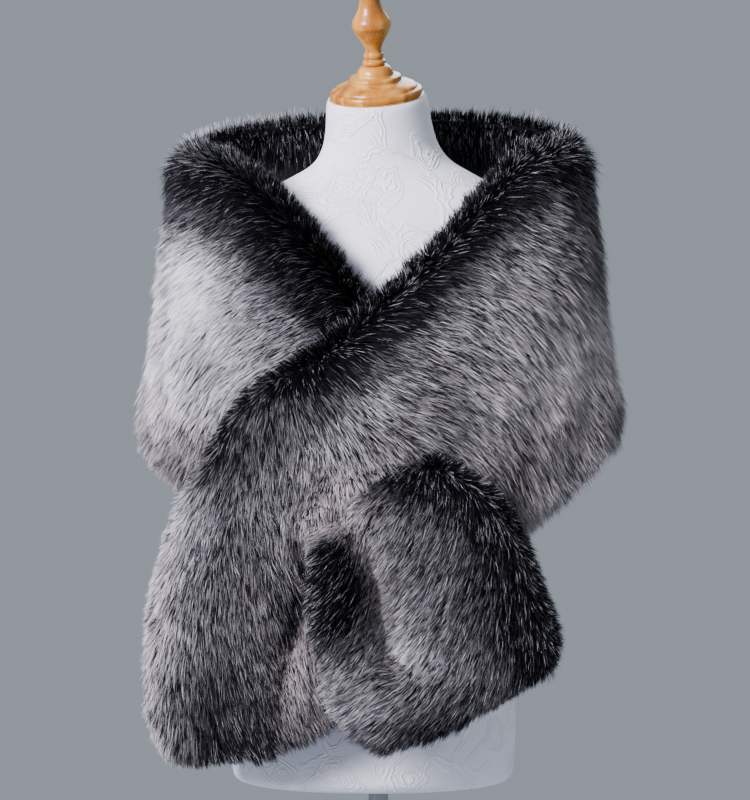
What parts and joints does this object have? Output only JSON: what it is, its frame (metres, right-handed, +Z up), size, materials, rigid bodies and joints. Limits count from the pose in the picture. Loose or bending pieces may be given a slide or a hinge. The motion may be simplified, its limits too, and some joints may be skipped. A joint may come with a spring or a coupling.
{
  "type": "fur collar wrap on a limbless dress form",
  "caption": "Long faux fur stole worn round the shoulders of a limbless dress form, one end pulled through a slit, on a pole and round base.",
  "frame": {"origin": "on the floor, at the centre of the base's underside, under the pole's axis", "axes": "+Z up, -Y toward the front of the form, +X toward the wearer's left"},
  "size_m": [0.5352, 0.4088, 1.0561],
  "materials": {
    "fur": "deep pile faux fur, black along the upper edge and silver grey toward the hem",
    "satin": "smooth black satin",
    "form_fabric": "white fabric with a raised rose pattern",
    "wood": "light turned wood, glossy varnish",
    "steel": "polished steel tube",
    "base_steel": "brushed steel"
  },
  "bodies": {
    "root": {"back_collar": "fur", "right_front": "fur", "left_front": "fur", "pulled_end": "fur", "back_lining": "satin", "form_torso": "form_fabric", "neck_cap": "wood", "finial": "wood", "pole": "steel", "base_disc": "base_steel"}
  },
  "joints": []
}
